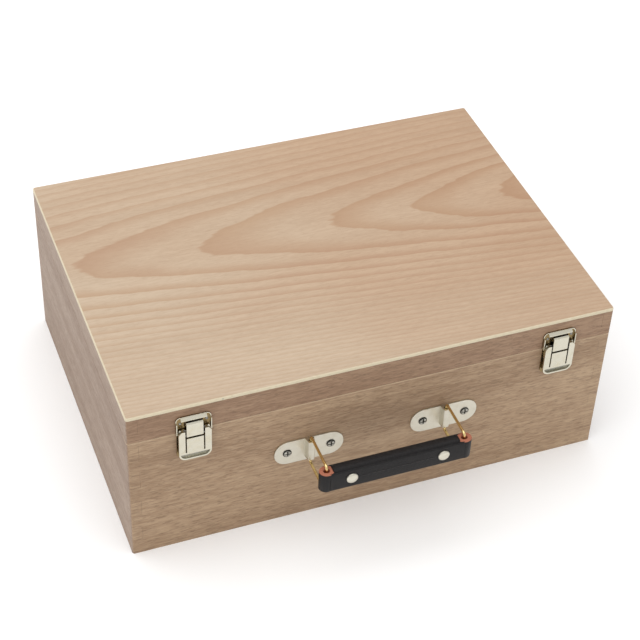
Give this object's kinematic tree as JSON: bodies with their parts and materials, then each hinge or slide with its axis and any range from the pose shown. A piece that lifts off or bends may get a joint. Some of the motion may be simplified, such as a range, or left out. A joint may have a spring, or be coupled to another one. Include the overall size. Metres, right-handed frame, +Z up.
{
  "type": "wooden sketchbox easel",
  "caption": "Low wooden painter's box with finger-jointed walls, a hinged lid on slotted stays, draw latches, a leather carrying handle, a palette and a canvas holder in the lid.",
  "frame": {"origin": "middle of the box's flat bottom, on the surface it rests on", "axes": "+X to the right along the longest side, -Y towards the latches and the handle, +Z up"},
  "size_m": [0.41, 0.3541, 0.1519],
  "materials": {
    "beech_front": "satin lacquer over steamed beech",
    "beech_side": "satin lacquer over beech",
    "beech_veneer": "satin lacquer over peach-tan beech veneer",
    "birch_plywood": "bare plywood",
    "inner_wood": "bare sanded wood",
    "latch_plate": "pale champagne plating",
    "nickel_plate": "warm nickel plating",
    "gold_wire": "polished brass plated wire",
    "brass_hardware": "satin brass",
    "steel_fixings": "bright zinc",
    "black_leather": "black pressed leather with a red-brown raw edge"
  },
  "bodies": {
    "base": {"base_front_wall": "beech_front", "base_back_wall": "beech_front", "base_left_wall": "beech_side", "base_right_wall": "beech_side", "base_bottom_panel": "birch_plywood", "long_divider": "inner_wood", "short_divider_left": "inner_wood", "short_divider_right": "inner_wood", "palette_ledge_front": "inner_wood", "palette_ledge_back": "inner_wood", "hinge_base_leaf_left": "brass_hardware", "hinge_base_leaf_right": "brass_hardware", "hinge_pin_left": "brass_hardware", "hinge_pin_right": "brass_hardware", "stay_stud_left": "brass_hardware", "stay_stud_right": "brass_hardware", "latch_base_left": "latch_plate", "latch_base_right": "latch_plate", "latch_lever_pin_left": "steel_fixings", "latch_lever_pin_right": "steel_fixings", "handle_pad_left": "nickel_plate", "handle_pad_right": "nickel_plate", "pad_screw_1": "steel_fixings", "pad_screw_2": "steel_fixings", "pad_screw_3": "steel_fixings", "pad_screw_4": "steel_fixings"},
    "lid": {"lid_front_wall": "beech_front", "lid_back_wall": "beech_front", "lid_left_wall": "beech_side", "lid_right_wall": "beech_side", "lid_top_panel": "beech_veneer", "canvas_rail": "inner_wood", "hinge_lid_leaf_left": "brass_hardware", "hinge_lid_leaf_right": "brass_hardware", "stay_rivet_left": "brass_hardware", "stay_rivet_right": "brass_hardware", "latch_catch_left": "latch_plate", "latch_catch_right": "latch_plate"},
    "palette": {"palette": "beech_veneer"},
    "shelf": {"canvas_shelf": "inner_wood", "canvas_shelf_nut": "steel_fixings"},
    "shelf_knob": {"canvas_shelf_knob": "brass_hardware"},
    "clamp": {"canvas_clamp": "inner_wood", "canvas_clamp_nut": "steel_fixings"},
    "clamp_knob": {"canvas_clamp_knob": "brass_hardware"},
    "ring_left": {"handle_ring_left": "gold_wire"},
    "ring_right": {"handle_ring_right": "gold_wire"},
    "grip": {"handle_grip": "black_leather", "grip_rivet_left": "nickel_plate", "grip_rivet_right": "nickel_plate"},
    "stay_left": {"lid_stay_left": "brass_hardware"},
    "thumb_nut_left": {"thumb_nut_left": "brass_hardware"},
    "lever_left": {"latch_lever_left": "latch_plate", "latch_hook_pin_left": "steel_fixings"},
    "hook_left": {"latch_hook_left": "latch_plate"},
    "stay_right": {"lid_stay_right": "brass_hardware"},
    "thumb_nut_right": {"thumb_nut_right": "brass_hardware"},
    "lever_right": {"latch_lever_right": "latch_plate", "latch_hook_pin_right": "steel_fixings"},
    "hook_right": {"latch_hook_right": "latch_plate"}
  },
  "joints": [
    {"name": "lid_hinge", "type": "hinge", "parent": "base", "child": "lid", "pos_m": [0, 0.1532, 0.1245], "axis": [-1, 0, 0], "range_deg": [0, 110]},
    {"name": "stay_turn_left", "type": "hinge", "parent": "lid", "child": "stay_left", "pos_m": [-0.1921, 0.09441, 0.1365], "axis": [-1, 0, 0], "range_deg": [-55, 0]},
    {"name": "thumb_nut_turn_left", "type": "hinge", "parent": "base", "child": "thumb_nut_left", "pos_m": [-0.188, 0.09441, 0.1125], "axis": [1, 0, 0], "range_deg": [0, 180]},
    {"name": "latch_turn_left", "type": "hinge", "parent": "base", "child": "lever_left", "pos_m": [-0.1525, -0.1529, 0.1281], "axis": [-1, 0, 0], "range_deg": [0, 90]},
    {"name": "hook_turn_left", "type": "hinge", "parent": "lever_left", "child": "hook_left", "pos_m": [-0.1525, -0.1542, 0.1237], "axis": [-1, 0, 0], "range_deg": [-120, 0]},
    {"name": "stay_turn_right", "type": "hinge", "parent": "lid", "child": "stay_right", "pos_m": [0.1921, 0.09441, 0.1365], "axis": [-1, 0, 0], "range_deg": [-55, 0]},
    {"name": "thumb_nut_turn_right", "type": "hinge", "parent": "base", "child": "thumb_nut_right", "pos_m": [0.188, 0.09441, 0.1125], "axis": [1, 0, 0], "range_deg": [0, 180]},
    {"name": "latch_turn_right", "type": "hinge", "parent": "base", "child": "lever_right", "pos_m": [0.157, -0.1529, 0.1281], "axis": [-1, 0, 0], "range_deg": [0, 90]},
    {"name": "hook_turn_right", "type": "hinge", "parent": "lever_right", "child": "hook_right", "pos_m": [0.157, -0.1542, 0.1237], "axis": [-1, 0, 0], "range_deg": [-120, 0]},
    {"name": "palette_slide", "type": "slide", "parent": "base", "child": "palette", "axis": [1, 0, 0], "range_m": [0, 0.08]},
    {"name": "shelf_slide", "type": "slide", "parent": "lid", "child": "shelf", "axis": [0, -1, 0], "range_m": [0, 0.06]},
    {"name": "shelf_knob_turn", "type": "hinge", "parent": "shelf", "child": "shelf_knob", "pos_m": [0, 0.112, 0.129], "axis": [0, 0, 1], "range_deg": [0, 180]},
    {"name": "clamp_slide", "type": "slide", "parent": "lid", "child": "clamp", "axis": [0, 1, 0], "range_m": [0, 0.09]},
    {"name": "clamp_knob_turn", "type": "hinge", "parent": "clamp", "child": "clamp_knob", "pos_m": [0, -0.118, 0.129], "axis": [0, 0, 1], "range_deg": [0, 180]},
    {"name": "handle_swing", "type": "hinge", "parent": "base", "child": "ring_left", "pos_m": [-0.0572, -0.1548, 0.0773], "axis": [0, 0, 1], "range_deg": [-72, 72]},
    {"name": "ring_turn_right", "type": "hinge", "parent": "base", "child": "ring_right", "pos_m": [0.0598, -0.1548, 0.0773], "axis": [0, 0, 1], "range_deg": [-72, 72]},
    {"name": "grip_turn", "type": "hinge", "parent": "ring_left", "child": "grip", "pos_m": [-0.0572, -0.1908, 0.0773], "axis": [0, 0, 1], "range_deg": [-72, 72]}
  ],
  "couplings": [
    {"joint": "stay_turn_left", "follows": "lid_hinge", "ratio": -0.5},
    {"joint": "hook_turn_left", "follows": "latch_turn_left", "ratio": -1.1},
    {"joint": "stay_turn_right", "follows": "lid_hinge", "ratio": -0.5},
    {"joint": "hook_turn_right", "follows": "latch_turn_right", "ratio": -1.1},
    {"joint": "ring_turn_right", "follows": "handle_swing", "ratio": 1},
    {"joint": "grip_turn", "follows": "handle_swing", "ratio": -1}
  ]
}
